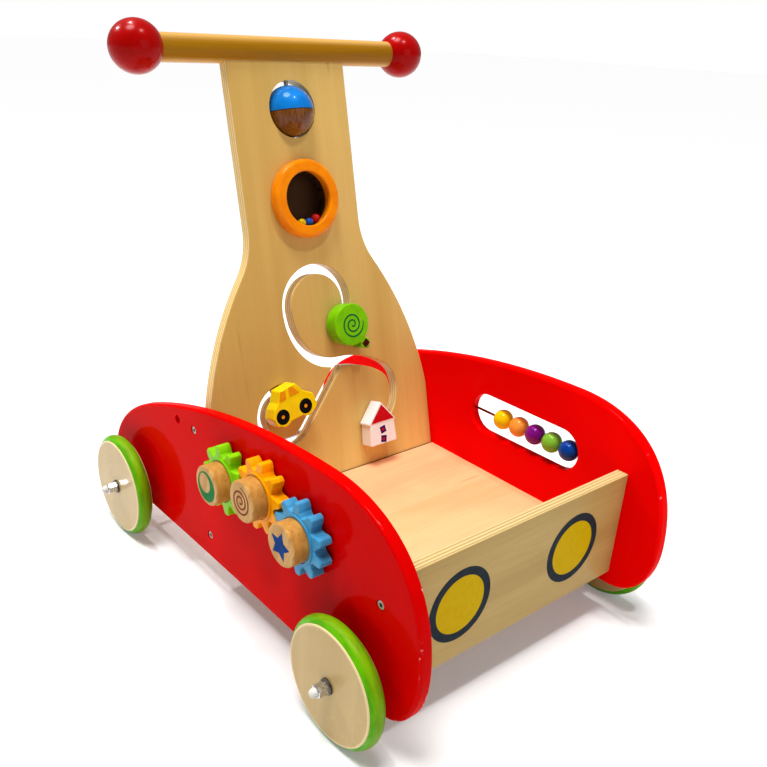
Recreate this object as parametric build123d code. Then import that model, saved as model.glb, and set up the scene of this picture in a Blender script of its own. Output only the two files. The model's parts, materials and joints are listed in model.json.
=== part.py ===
from build123d import *
import os
from math import acos, atan2, cos, degrees, hypot, pi, radians, sin, sqrt, tan

# Wooden push-along baby walker with an activity board. Millimetres, +Z up, front towards -Y.
# The origin is on the ground, in the middle of the walker's length and width.

# ---- Frame -------------------------------------------------------------------------------
SHEET = 12.0                       # plywood thickness of every panel except the floor
TRAY_WIDTH = 276.0                 # inside, between the side panels
INNER_X = TRAY_WIDTH / 2
OUTER_X = INNER_X + SHEET
GEAR_SIDE_HALF = 251.0             # half length of each side panel
BEAD_SIDE_HALF = 253.4
PANEL_BOTTOM = 34.0
GEAR_SIDE_TOP = 209.0
BEAD_SIDE_TOP = 211.5
SEAM = 0.2                         # gap beside a panel that is fitted between two others
SIDE_EDGE_R = 2.6                  # rounding on the side panels' edges
BOARD_EDGE_R = 1.0                 # rounding on the natural panels' edges

FLOOR_TOP = 82.7
FLOOR_SHEET = 9.0
HOUSING = 4.0                      # depth of the grooves that hold the floor

FRONT_Y = -210.0                   # outside of the front panel
FRONT_BOTTOM = 48.0
FRONT_TOP = 154.0

# ---- Leaning back board: local x across, h up the board's front face, d forward of it -----
LEAN = 13.97                       # degrees from upright
BOARD_Y = 42.0                     # front face at floor height
BOARD_BOTTOM_H = -36.0
BOARD_TOP_H = 408.5
NECK_HALF = 66.0                   # half width of the upper part
NECK_H = 257.4                     # where the flare starts
FLARE_IN_R = 73.4
FLARE_TURN = 35.6                  # degrees
FLARE_OUT_R = 329.5
BOARD = Plane(
    origin=(0, BOARD_Y, FLOOR_TOP),
    x_dir=(1, 0, 0),
    z_dir=(0, -cos(radians(LEAN)), sin(radians(LEAN))),
)

# ---- Push handle ---------------------------------------------------------------------------
BAR_R = 12.0
BAR_H = 416.5                      # height of the bar's axis, up the board
BALL_R = 22.1                      # across the bar
BALL_HALF = 23.2                   # along the bar
BALL_X = 146.8
BAR_END = 6.0                      # how far the bar runs past a ball's centre
PEG_R = 4.0
PEG_X = 42.0

# ---- Wheels and axles ----------------------------------------------------------------------
TYRE_R = 54.3
RIM_R = 49.7
RIM_BACK_R = 48.4
RIM_SEAT_R = 46.0
WHEEL_IN = 10.4                    # gap from side panel to wheel
WHEEL_W = 17.0
FRONT_AXLE_Y = -181.0
REAR_AXLE_Y = 191.5
AXLE_R = 3.0
RUNNING = 0.05                     # radial clearance of every turning fit
SIDE_PLAY = 0.3
WASHER_R = 6.9
WASHER_T = 1.4
NUT_FLATS = 10.0
NUT_T = 9.6
CAP_R = 3.9
CAP_OUT = 5.2                      # cap's length beyond its nut

# ---- Gear train on the side panel ----------------------------------------------------------
TEETH = 10
GEAR_PITCH = 57.5                  # distance between neighbouring gear centres
GEAR_TIP_R = 32.0
GEAR_ROOT_R = 22.4
PRESSURE = 28.0                    # degrees
TOOTH_AT_PITCH = 7.9
GEAR_SLACK = 1.4                   # degrees each outer gear is turned within its backlash
MIDDLE_GEAR = (-61.4, 158.0)       # y, z of the middle gear
TRAIN_DROP = 11.4                  # degrees that each outer gear hangs below the middle one
GEAR_BACK = 2.2                    # gaps from the panel's outer face
GEAR_FRONT = 13.4
RING_R = 21.2
RING_W = 2.0
RING_UP = 1.2
KNOB_R = 18.2
KNOB_FACE = 28.4
GEAR_PIN_R = 4.0

# ---- Bead window in the other side panel ----------------------------------------------------
WINDOW_Y = (-153.0, -13.5)
WINDOW_Z = (125.5, 168.0)
BEAD_Z = 146.6
BEAD_R = 10.5
BEAD_PITCH = 21.4
FIRST_BEAD_Y = -139.4
BEAD_ROD_R = 1.3

# ---- Activities on the back board ------------------------------------------------------------
SPIN_HOLE_H = 364.0
SPIN_HOLE_R = 26.0
SPIN_BALL_H = 362.4
SPIN_BALL_R = 23.6
SPIN_ROD_R = 2.0
SPIN_ROD_H = (331.0, 404.0)

RATTLE_H = 281.0
RATTLE_R = 37.0
RATTLE_BORE_R = 25.4
RATTLE_PROUD = 10.6
DRUM_R = 30.6
DRUM_HOLE_R = 31.0
WINDOW_D = 6.0                     # front of the clear disc
WINDOW_T = 2.0
BACK_COVER_T = 5.0
RATTLE_BEAD_R = 4.0

TRACK_W = 10.0
TRACK_EDGE = 0.8                   # rounding on the track's front edges
LOOP_TOP = (2.0, 177.0, 36.5)      # centre x, h and centreline radius of each loop
LOOP_RIGHT = (52.0, 75.0, 37.5)
LOOP_LEFT = (-52.0, 75.0, 27.5)
BALLOON_AT = -39.4                 # rest angle of each peg about its loop's centre
HOUSE_AT = -80.0
CAR_AT = 80.0
BLOCK_BACK = 0.7                   # toy blocks stand this far off the board
BLOCK_FRONT = 16.8
BLOCK_EDGE = 1.3
TRACK_PEG_R = 3.5
BUTTON_R = 10.0
BUTTON_T = 5.0

# ---- Fasteners -------------------------------------------------------------------------------
SCREW_HEAD_R = 3.6
SCREW_HEAD_T = 4.0
SCREW_R = 2.5
SCREW_LENGTH = 45.0
COUNTERBORE_R = 4.5
COUNTERBORE_DEEP = 4.8
HEX_KEY = 3.4


def on_loop(loop, angle):
    """Point on a loop's centreline, in board x and h."""
    cx, ch, radius = loop
    return (cx + radius * cos(radians(angle)), ch + radius * sin(radians(angle)))


def on_board(part):
    """Place a part built in board x, h, d where the board is."""
    return BOARD * part


def board_mid_y(z):
    """Y of the back board's middle layer at height z."""
    return BOARD_Y + (z - FLOOR_TOP) * tan(radians(LEAN)) + SHEET / 2 / cos(radians(LEAN))


def cylinder_x(radius, x0, x1, y, z):
    """Cylinder along X from x0 to x1."""
    plane = Plane(origin=(min(x0, x1), y, z), z_dir=(1, 0, 0))
    return plane * Cylinder(radius, abs(x1 - x0), align=(Align.CENTER, Align.CENTER, Align.MIN))


def disc(radius, z0, z1):
    """Cylinder about local Z from z0 to z1."""
    return Pos(0, 0, z0) * Cylinder(radius, z1 - z0, align=(Align.CENTER, Align.CENTER, Align.MIN))


def turned(points):
    """Solid of revolution about local Z from a closed outline of (radius, z)."""
    face = make_face(Polyline(*[(r, 0, z) for r, z in points], close=True))
    return revolve(face, Axis.Z)


# ---- Side panels -------------------------------------------------------------------------------
def side_outline(side):
    """Long boat-shaped outline in local x = Y and y = Z; the bead side is a little fuller in front."""
    if side < 0:
        half, crown, cheek_h, brow_y, chin_y = GEAR_SIDE_HALF, (-133.0, GEAR_SIDE_TOP), 159.0, -213.0, -238.0
    else:
        half, crown, cheek_h, brow_y, chin_y = BEAD_SIDE_HALF, (-140.0, BEAD_SIDE_TOP), 165.3, -217.0, -240.0
    nose = (-half, 93.0)
    tail = (half, 65.0)
    shoulder = (166.0, 153.0)
    chin = (-208.0, PANEL_BOTTOM)
    heel = (215.0, PANEL_BOTTOM)
    edges = [
        Bezier(chin, (chin_y, PANEL_BOTTOM), (-half, 62.0), nose),
        Bezier(nose, (-half, cheek_h), (brow_y, crown[1]), crown),
        TangentArc(crown, shoulder, tangent=(1, 0)),
        Bezier(shoulder, (207.0, 136.0), (half, 104.0), tail),
        Bezier(tail, (half, 46.0), (236.0, PANEL_BOTTOM), heel),
        ThreePointArc(heel, (30.0, PANEL_BOTTOM + 2.5), chin),
    ]
    return make_face(Wire(edges))


def screw_places():
    """(y, z) of the four screws that run through each side panel."""
    middle_of_front = FRONT_Y + SHEET / 2
    upper, lower = 162.5, 61.3
    return [
        (board_mid_y(upper), upper),
        (board_mid_y(lower), lower),
        (middle_of_front, 131.6),
        (middle_of_front, 68.0),
    ]


def bead_window():
    """Stadium-shaped window, in local x = Y and y = Z."""
    y0, y1 = WINDOW_Y
    z0, z1 = WINDOW_Z
    middle = Pos((y0 + y1) / 2, (z0 + z1) / 2)
    return middle * SlotOverall(y1 - y0, z1 - z0)


def side_panel(side):
    """side is -1 for the gear side and +1 for the bead side."""
    plane = Plane(origin=(INNER_X if side > 0 else -OUTER_X, 0, 0), x_dir=(0, 1, 0), z_dir=(1, 0, 0))
    face = side_outline(side)
    if side > 0:
        face -= bead_window()
    panel = plane * extrude(face, SHEET)
    rims = panel.faces().sort_by(Axis.X)
    panel = fillet(rims[0].edges() + rims[-1].edges(), SIDE_EDGE_R)
    outer = side * OUTER_X
    for y, z in screw_places():
        panel -= cylinder_x(SCREW_R, side * INNER_X, outer, y, z)
        panel -= cylinder_x(COUNTERBORE_R, outer - side * COUNTERBORE_DEEP, outer, y, z)
    for y in (FRONT_AXLE_Y, REAR_AXLE_Y):
        panel -= cylinder_x(AXLE_R + RUNNING, side * INNER_X, outer, y, TYRE_R)
    groove = Box(HOUSING, BOARD_Y - FRONT_Y - SHEET + HOUSING, FLOOR_SHEET, align=(Align.CENTER, Align.MIN, Align.MAX))
    panel -= Pos(side * (INNER_X + HOUSING / 2), FRONT_Y + SHEET - HOUSING, FLOOR_TOP) * groove
    if side < 0:
        panel -= spare_hole()
        for y, z in gear_places():
            panel -= cylinder_x(GEAR_PIN_R, -INNER_X, -OUTER_X, y, z)
    else:
        panel -= bead_rod_solid()
    return panel


def spare_hole():
    """Counterbored hole with no screw in it, behind the upper board screw."""
    y, z = 99.0, 161.6
    through = cylinder_x(SCREW_R, -INNER_X, -OUTER_X, y, z)
    return through + cylinder_x(COUNTERBORE_R, -OUTER_X + COUNTERBORE_DEEP, -OUTER_X, y, z)


def panel_screws(side):
    """Socket-head screws, sunk into their counterbores."""
    seat = side * (OUTER_X - COUNTERBORE_DEEP)
    head_end = seat + side * SCREW_HEAD_T
    tip = seat - side * SCREW_LENGTH
    screws = []
    for y, z in screw_places():
        screw = cylinder_x(SCREW_HEAD_R, seat, head_end, y, z) + cylinder_x(SCREW_R, tip, seat, y, z)
        plane = Plane(origin=(head_end, y, z), z_dir=(-side, 0, 0))
        screw -= plane * extrude(RegularPolygon(HEX_KEY / 2, 6, major_radius=False), SCREW_HEAD_T / 2)
        screws.append(screw)
    return Compound(children=screws)


# ---- Tray ----------------------------------------------------------------------------------------
def floor_panel():
    """Floor in its grooves; the rear edge follows the leaning board."""
    gap = 0.6
    top_y = BOARD_Y - gap
    bottom_y = top_y - FLOOR_SHEET * tan(radians(LEAN))
    front_y = FRONT_Y + SHEET - HOUSING
    low = FLOOR_TOP - FLOOR_SHEET
    section = Polyline((front_y, low), (bottom_y, low), (top_y, FLOOR_TOP), (front_y, FLOOR_TOP), close=True)
    plane = Plane(origin=(-INNER_X - HOUSING, 0, 0), x_dir=(0, 1, 0), z_dir=(1, 0, 0))
    return plane * extrude(make_face(section), 2 * (INNER_X + HOUSING))


def front_panel():
    width = 2 * (INNER_X - SEAM)
    panel = Box(width, SHEET, FRONT_TOP - FRONT_BOTTOM, align=(Align.CENTER, Align.MIN, Align.MIN))
    panel = Pos(0, FRONT_Y, FRONT_BOTTOM) * panel
    panel = fillet(panel.edges().filter_by(Axis.X), BOARD_EDGE_R)
    groove = Box(width, HOUSING, FLOOR_SHEET, align=(Align.CENTER, Align.MAX, Align.MAX))
    panel -= Pos(0, FRONT_Y + SHEET, FLOOR_TOP) * groove
    return panel - edge_holes(screw_places()[2:])


def edge_holes(places):
    """Screw holes drilled into the two edges of a panel that stands between the sides."""
    tip = OUTER_X - COUNTERBORE_DEEP - SCREW_LENGTH
    holes = [cylinder_x(SCREW_R, s * tip, s * OUTER_X, y, z) for y, z in places for s in (-1, 1)]
    return Compound(children=holes)


# ---- Back board ------------------------------------------------------------------------------------
def board_outline():
    """Half of the board from its middle to its edge, mirrored."""
    edge_x = INNER_X - SEAM
    flare_in = JernArc((NECK_HALF, NECK_H), (0, -1), FLARE_IN_R, FLARE_TURN)
    # the outer arc turns back until it meets the width of the tray
    centre_x = (flare_in @ 1).X - FLARE_OUT_R * cos(radians(FLARE_TURN))
    last = degrees(acos((edge_x - centre_x) / FLARE_OUT_R))
    flare_out = JernArc(flare_in @ 1, flare_in % 1, FLARE_OUT_R, last - FLARE_TURN)
    edges = [
        Line((0, BOARD_TOP_H), (NECK_HALF, BOARD_TOP_H)),
        Line((NECK_HALF, BOARD_TOP_H), (NECK_HALF, NECK_H)),
        flare_in,
        flare_out,
        Line(flare_out @ 1, (edge_x, BOARD_BOTTOM_H)),
        Line((edge_x, BOARD_BOTTOM_H), (0, BOARD_BOTTOM_H)),
        Line((0, BOARD_BOTTOM_H), (0, BOARD_TOP_H)),
    ]
    half = make_face(Wire(edges))
    return half + mirror(half, Plane.YZ)


def loop_arc(loop, start, sweep):
    cx, ch, radius = loop
    return CenterArc((cx, ch), radius, start, sweep)


def track_faces():
    """Branching track: a top loop, a right loop and a left loop that meet in the middle."""
    left_side = on_loop(LOOP_TOP, 180)
    leave_right_at = 22.0
    right_side = on_loop(LOOP_RIGHT, leave_right_at)
    lean_in = (right_side[0] - 5.3, right_side[1] + 13.0)
    crossing = (20.0, 116.5)
    feed_at = -41.7
    feed = on_loop(LOOP_LEFT, feed_at)
    feed_length = 76.0
    fork = (feed[0] - feed_length * sin(radians(feed_at)), feed[1] + feed_length * cos(radians(feed_at)))
    paths = [
        loop_arc(LOOP_TOP, BALLOON_AT, 180 - BALLOON_AT),
        Bezier(left_side, (left_side[0], 143), (-12, crossing[1]), crossing),
        Bezier(crossing, (50, crossing[1]), lean_in, right_side),
        loop_arc(LOOP_RIGHT, HOUSE_AT, leave_right_at - HOUSE_AT),
        Line(fork, feed),
        loop_arc(LOOP_LEFT, CAR_AT, 360 + feed_at - CAR_AT),
    ]
    faces = Sketch()
    for path in paths:
        faces += trace(path, TRACK_W)
        for end in (path @ 0, path @ 1):
            faces += Pos(end.X, end.Y) * Circle(TRACK_W / 2)
    return faces


def soften_track(board):
    """Round the track's edges on the front face."""
    front = board.edges().filter_by_position(Axis.Z, -0.01, 0.01)
    near_track = front.filter_by_position(Axis.X, -90, 100).filter_by_position(Axis.Y, 20, 225)
    return fillet(near_track, TRACK_EDGE)


def back_board():
    blank = extrude(board_outline(), -SHEET)
    rims = blank.faces().filter_by(Axis.Z).edges()
    blank = fillet(rims.filter_by_position(Axis.Y, BOARD_BOTTOM_H + 1, BOARD_TOP_H - 1), BOARD_EDGE_R)
    blank = soften_track(blank - extrude(track_faces(), -2 * SHEET, both=True))
    blank -= Pos(0, SPIN_HOLE_H) * disc(SPIN_HOLE_R, -2 * SHEET, SHEET)
    blank -= Pos(0, RATTLE_H) * disc(DRUM_HOLE_R, -2 * SHEET, SHEET)
    blank -= spinner_rod_local()
    for x in (-PEG_X, PEG_X):
        blank -= handle_peg_local(x)
    return on_board(blank) - edge_holes(screw_places()[:2])


# ---- Push handle --------------------------------------------------------------------------------------
def along_board(radius, x, h0, h1):
    """Cylinder in the board's middle layer, running up it."""
    plane = Plane(origin=(x, h0, -SHEET / 2), z_dir=(0, 1, 0))
    return plane * Cylinder(radius, h1 - h0, align=(Align.CENTER, Align.CENTER, Align.MIN))


def handle_peg_local(x):
    return along_board(PEG_R, x, BAR_H - 34, BAR_H + 5)


def bar_axis():
    """(y, z) of the push bar's axis."""
    centre = BOARD.from_local_coords((0, BAR_H, -SHEET / 2))
    return centre.Y, centre.Z


def handle_bar():
    y, z = bar_axis()
    end = BALL_X + BAR_END
    bar = cylinder_x(BAR_R, -end, end, y, z)
    bar = chamfer(bar.edges().filter_by(GeomType.CIRCLE), 1.0)
    groove = Box(2 * NECK_HALF + 2 * SEAM, BAR_R, SHEET + SEAM, align=(Align.CENTER, Align.MAX, Align.CENTER))
    bar -= on_board(Pos(0, BOARD_TOP_H, -SHEET / 2) * groove)
    for x in (-PEG_X, PEG_X):
        bar -= on_board(handle_peg_local(x))
    return bar


def handle_ball(side):
    """Slightly long ball with a blind socket for the bar, built with local z outward."""
    y, z = bar_axis()
    start = -degrees(acos(BAR_R / BALL_R))
    skin = Edge.make_ellipse(BALL_R, BALL_HALF, Plane((0, 0, 0), (1, 0, 0), (0, -1, 0)), start, 90)
    mouth = (skin @ 0).Z
    socket = Polyline((0, 0, BALL_HALF), (0, 0, BAR_END), (BAR_R, 0, BAR_END), (BAR_R, 0, mouth))
    ball = revolve(make_face(Wire([skin, *socket.edges()])), Axis.Z)
    return Plane(origin=(side * BALL_X, y, z), z_dir=(side, 0, 0)) * ball


# ---- Wheels ----------------------------------------------------------------------------------------------
def wheel_plane(side, y):
    return Plane(origin=(side * (OUTER_X + WHEEL_IN), y, TYRE_R), x_dir=(0, 1, 0), z_dir=(side, 0, 0))


def wheel_disc():
    """Plywood disc with a shallow seat for its tyre, local z outward."""
    lip = 1.0
    edge = 0.6
    outline = [
        (AXLE_R + RUNNING, 0),
        (RIM_BACK_R - edge, 0),
        (RIM_BACK_R, edge),
        (RIM_BACK_R, lip),
        (RIM_SEAT_R, lip),
        (RIM_SEAT_R, WHEEL_W - lip),
        (RIM_R, WHEEL_W - lip),
        (RIM_R, WHEEL_W - edge),
        (RIM_R - edge, WHEEL_W),
        (AXLE_R + RUNNING, WHEEL_W),
    ]
    return turned(outline)


def tyre():
    """Crowned tyre around the disc."""
    lip = 1.0
    z0, z1 = lip, WHEEL_W - lip
    back = (RIM_BACK_R + 0.3, 0, z0)
    front = (RIM_R + 0.3, 0, z1)
    crown = ThreePointArc(back, (TYRE_R, 0, (z0 + z1) / 2), front)
    seat = Polyline(front, (RIM_SEAT_R, 0, z1), (RIM_SEAT_R, 0, z0), back)
    return revolve(make_face(Wire([crown, *seat.edges()])), Axis.Z)


def axle(y):
    end = OUTER_X + WHEEL_IN + WHEEL_W + SIDE_PLAY + WASHER_T + NUT_T + CAP_OUT / 2
    rod = cylinder_x(AXLE_R, -end, end, y, TYRE_R)
    return chamfer(rod.edges().filter_by(GeomType.CIRCLE), 0.5)


def hub_plane(side, y, out):
    return Plane(origin=(side * (OUTER_X + out), y, TYRE_R), x_dir=(0, 0, 1), z_dir=(side, 0, 0))


def at_hubs(part, out):
    """Four copies of a part, at a distance out from the side panels."""
    places = [(s, y) for y in (FRONT_AXLE_Y, REAR_AXLE_Y) for s in (-1, 1)]
    return Compound(children=[hub_plane(s, y, out) * part for s, y in places])


def wheel_spacers():
    tube = disc(8.0, 0, WHEEL_IN - SIDE_PLAY) - disc(AXLE_R, -1, WHEEL_IN)
    return at_hubs(tube, 0)


def hub_face():
    return WHEEL_IN + WHEEL_W + SIDE_PLAY


def axle_washers():
    ring = disc(WASHER_R, 0, WASHER_T) - disc(AXLE_R, -1, WASHER_T + 1)
    return at_hubs(ring, hub_face())


def axle_nuts():
    """Hexagon nuts with rounded corners at their outer face."""
    nut = extrude(RegularPolygon(NUT_FLATS / 2, 6, major_radius=False), NUT_T)
    corner = NUT_FLATS / sqrt(3)
    cone = turned([(0, 0), (corner + 1, 0), (corner + 0.2, NUT_T - 1.6), (NUT_FLATS / 2 - 0.4, NUT_T), (0, NUT_T)])
    nut = nut & cone
    nut -= disc(AXLE_R, -1, NUT_T + 1)
    return at_hubs(nut, hub_face() + WASHER_T)


def axle_caps():
    """Domed plastic caps over the axle ends."""
    cap = disc(CAP_R, 0, CAP_OUT)
    cap = fillet(cap.edges().sort_by(Axis.Z)[-1], CAP_R - 0.4)
    cap -= disc(AXLE_R, -1, CAP_OUT / 2 + 0.1)
    return at_hubs(cap, hub_face() + WASHER_T + NUT_T)


# ---- Gear train ---------------------------------------------------------------------------------------------
def gear_places():
    """(y, z) of the rear, middle and front gear."""
    y, z = MIDDLE_GEAR
    dy = GEAR_PITCH * cos(radians(TRAIN_DROP))
    dz = GEAR_PITCH * sin(radians(TRAIN_DROP))
    return [(y + dy, z - dz), (y, z), (y - dy, z - dz)]


def gear_phases():
    """Angle of one tooth of each gear, in degrees, so that the train is in mesh."""
    step = 360 / TEETH
    rear, middle, front = [(-y, z) for y, z in gear_places()]
    to_middle = degrees(atan2(middle[1] - rear[1], middle[0] - rear[0]))
    to_front = degrees(atan2(front[1] - middle[1], front[0] - middle[0]))
    middle_tooth = to_middle + 180
    rear_tooth = to_middle + step / 2 + GEAR_SLACK
    # a gap of the front gear faces the same way off the line as a tooth of the middle gear does
    off_line = middle_tooth - to_front
    front_tooth = to_front + 180 - off_line + step / 2 + GEAR_SLACK
    return [rear_tooth, middle_tooth, front_tooth]


def involute(angle):
    return tan(angle) - angle


def gear_outline():
    """Ten-tooth involute outline with rounded tips and V-shaped valleys, one tooth on local +X."""
    pitch_r = GEAR_PITCH / 2
    base_r = pitch_r * cos(radians(PRESSURE))
    half = TOOTH_AT_PITCH / 2 / pitch_r + involute(radians(PRESSURE))
    radii = [base_r + (GEAR_TIP_R - base_r) * k / 4 for k in range(5)]
    flank = [(r, half - involute(acos(base_r / r))) for r in radii]
    step = 2 * pi / TEETH
    edges = []
    for tooth in range(TEETH):
        middle = step * tooth
        valley = middle + step / 2
        low, high = [], []
        for r, a in flank:
            low.append((r * cos(middle - a), r * sin(middle - a)))
            high.append((r * cos(middle + a), r * sin(middle + a)))
        bottom = (GEAR_ROOT_R * cos(valley), GEAR_ROOT_R * sin(valley))
        next_foot = (base_r * cos(middle + step - half), base_r * sin(middle + step - half))
        edges += [
            Spline(*low),
            ThreePointArc(low[-1], (GEAR_TIP_R * cos(middle), GEAR_TIP_R * sin(middle)), high[-1]),
            Spline(*reversed(high)),
            Line(high[0], bottom),
            Line(bottom, next_foot),
        ]
    face = Sketch(make_face(Wire(edges)).wrapped)
    tips = [v for v in face.vertices() if hypot(v.X, v.Y) > GEAR_TIP_R - 0.1]
    face = fillet(tips, 1.9)
    roots = [v for v in face.vertices() if hypot(v.X, v.Y) < GEAR_ROOT_R + 0.1]
    return fillet(roots, 1.5)


def gear():
    """Gear with a thin raised ring around its knob, local z outward from the panel."""
    body = extrude(gear_outline(), GEAR_FRONT - GEAR_BACK)
    front = body.faces().sort_by(Axis.Z)[-1]
    body = Pos(0, 0, GEAR_BACK) * chamfer(front.edges(), 0.8)
    body += disc(RING_R, GEAR_FRONT - 1, GEAR_FRONT + RING_UP) - disc(RING_R - RING_W, GEAR_FRONT - 2, KNOB_FACE)
    body += disc(12.0, SIDE_PLAY, GEAR_BACK + 1)
    return body - disc(GEAR_PIN_R + RUNNING, 0, GEAR_FRONT + 1)


def gear_knob():
    knob = disc(KNOB_R, GEAR_FRONT, KNOB_FACE)
    knob = fillet(knob.edges().sort_by(Axis.Z)[-1], 1.8)
    return knob - disc(GEAR_PIN_R + RUNNING, GEAR_FRONT - 1, 21.0)


def gear_plane(index):
    y, z = gear_places()[index]
    return Plane(origin=(-OUTER_X, y, z), x_dir=(0, -1, 0), z_dir=(-1, 0, 0))


def gear_pins():
    """Pins fixed in the side panel, each with a low head on the inside."""
    head = disc(9.0, -SHEET - 2.6, -SHEET)
    head = fillet(head.edges().sort_by(Axis.Z)[0], 1.6)
    pin = head + disc(GEAR_PIN_R, -SHEET, 20.4)
    return Compound(children=[gear_plane(i) * pin for i in range(3)])


# ---- Bead window ------------------------------------------------------------------------------------------------
def bead_rod_solid():
    y0, y1 = WINDOW_Y
    into_panel = 9.0
    plane = Plane(origin=(INNER_X + SHEET / 2, y0 - into_panel, BEAD_Z), z_dir=(0, 1, 0))
    length = y1 - y0 + 2 * into_panel
    return plane * Cylinder(BEAD_ROD_R, length, align=(Align.CENTER, Align.CENTER, Align.MIN))


def bead(index):
    y = FIRST_BEAD_Y + index * BEAD_PITCH
    plane = Plane(origin=(INNER_X + SHEET / 2, y, BEAD_Z), z_dir=(0, 1, 0))
    ball = Sphere(BEAD_R) - disc(BEAD_ROD_R + RUNNING, -BEAD_R, BEAD_R)
    return plane * ball


# ---- Spinning ball -------------------------------------------------------------------------------------------------
def spinner_rod_local():
    return along_board(SPIN_ROD_R, 0, *SPIN_ROD_H)


def spinner_ball():
    ball = Pos(0, SPIN_BALL_H, -SHEET / 2) * Sphere(SPIN_BALL_R)
    bore = along_board(SPIN_ROD_R + RUNNING, 0, *SPIN_ROD_H)
    return on_board(ball - bore)


# ---- Rattle ---------------------------------------------------------------------------------------------------------
def rattle_ring():
    """Turned ring whose drum runs through the board."""
    stand = 0.4
    outline = [
        (RATTLE_BORE_R, RATTLE_PROUD),
        (RATTLE_R, RATTLE_PROUD),
        (RATTLE_R, stand),
        (DRUM_R, stand),
        (DRUM_R, -SHEET - stand),
        (RATTLE_BORE_R, -SHEET - stand),
    ]
    ring = turned(outline)
    front = ring.faces().sort_by(Axis.Z)[-1].edges().sort_by(SortBy.RADIUS)
    ring = fillet(front[-1], 4.0)
    inner = ring.edges().filter_by(GeomType.CIRCLE).filter_by_position(
        Axis.Z, RATTLE_PROUD - 0.1, RATTLE_PROUD + 0.1
    ).sort_by(SortBy.RADIUS)[0]
    ring = fillet(inner, 1.6)
    ring -= disc(RATTLE_BORE_R + 1.2, -SHEET - 1, WINDOW_D)
    return on_board(Pos(0, RATTLE_H) * ring)


def rattle_window():
    return on_board(Pos(0, RATTLE_H) * disc(RATTLE_BORE_R + 1.2, WINDOW_D - WINDOW_T, WINDOW_D))


def rattle_back_cover():
    stand = 0.4
    cover = disc(RATTLE_R - 3, -SHEET - stand - BACK_COVER_T, -SHEET - stand)
    cover = fillet(cover.edges().sort_by(Axis.Z)[0], 2.0)
    return on_board(Pos(0, RATTLE_H) * cover)


def rattle_beads(angles):
    """Small loose beads at the bottom of the drum, at these angles about its centre."""
    lie_r = RATTLE_BORE_R + 1.2 - RATTLE_BEAD_R - 0.1
    beads = []
    for angle, depth in angles:
        x, h = lie_r * cos(radians(angle)), lie_r * sin(radians(angle))
        beads.append(on_board(Pos(x, RATTLE_H + h, depth) * Sphere(RATTLE_BEAD_R)))
    return Compound(children=beads)


# ---- Toy blocks on the track -------------------------------------------------------------------------------------------
def track_peg(at):
    """Peg through the track with a round button behind the board."""
    stand = 0.5
    button = disc(BUTTON_R, -SHEET - stand - BUTTON_T, -SHEET - stand)
    button = fillet(button.edges().sort_by(Axis.Z)[0], 1.8)
    peg = button + disc(TRACK_PEG_R, -SHEET - stand, BLOCK_FRONT - 5)
    return on_board(Pos(*at) * peg)


def toy_block(face, at):
    """Block cut from an outline around its own peg, with rounded edges and a blind bore."""
    block = extrude(face, BLOCK_FRONT - BLOCK_BACK)
    rims = block.faces().sort_by(Axis.Z)
    block = fillet(rims[0].edges() + rims[-1].edges(), BLOCK_EDGE)
    block = Pos(0, 0, BLOCK_BACK) * block
    block -= disc(TRACK_PEG_R + RUNNING, 0, BLOCK_FRONT - 4.5)
    return on_board(Pos(*at) * block)


def balloon_face():
    """Round balloon with a square knot, one corner of the knot pointing away."""
    radius, knot_out, knot_side, knot_at = 21.4, 26.0, 10.6, -55.0
    knot = Rot(0, 0, knot_at) * Pos(knot_out, 0) * Rot(0, 0, 45) * RectangleRounded(knot_side, knot_side, 2.0)
    face = Circle(radius) + knot
    creases = [v for v in face.vertices() if abs(hypot(v.X, v.Y) - radius) < 0.01]
    return fillet(creases, 1.5)


def car_face():
    """Side view of a little saloon, nose towards +x, tilted up by its track."""
    right_half = [(23.0, -6.2), (26.5, -2.0), (25.0, 10.5), (14.5, 17.5), (8.0, 28.0)]
    left_half = [(-11.0, 26.5), (-16.5, 16.0), (-22.0, 11.5), (-26.5, 3.0), (-24.0, -6.2)]
    shell = make_face(Polyline(*right_half, *left_half, close=True))
    shell = fillet(shell.vertices(), 2.6)
    wheels = [Pos(x, 0) * Circle(9.0) for x in (-14, 14)]
    face = shell + wheels[0] + wheels[1]
    peg_in_car = (6.6, 20.6)
    return Rot(0, 0, 10.7) * Pos(-peg_in_car[0], -peg_in_car[1]) * face


def house_face():
    """Gabled house whose walls lean in a little towards the eaves."""
    foot, wall, eaves, peak, overhang, eave_drop = 17.9, 16.6, 25.0, 46.2, 1.4, 2.6
    outline = Polyline(
        (-foot, 0), (foot, 0), (wall, eaves - eave_drop), (wall + overhang, eaves - eave_drop + 1),
        (wall + overhang, eaves), (0, peak), (-wall - overhang, eaves),
        (-wall - overhang, eaves - eave_drop + 1), (-wall, eaves - eave_drop), close=True,
    )
    face = make_face(outline)
    sharp = [v for v in face.vertices() if v.Y < 1 or v.Y > peak - 1]
    face = fillet(sharp, 1.5)
    peg_in_house = (2.3, 16.5)
    return Pos(-peg_in_house[0], -peg_in_house[1]) * face


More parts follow.
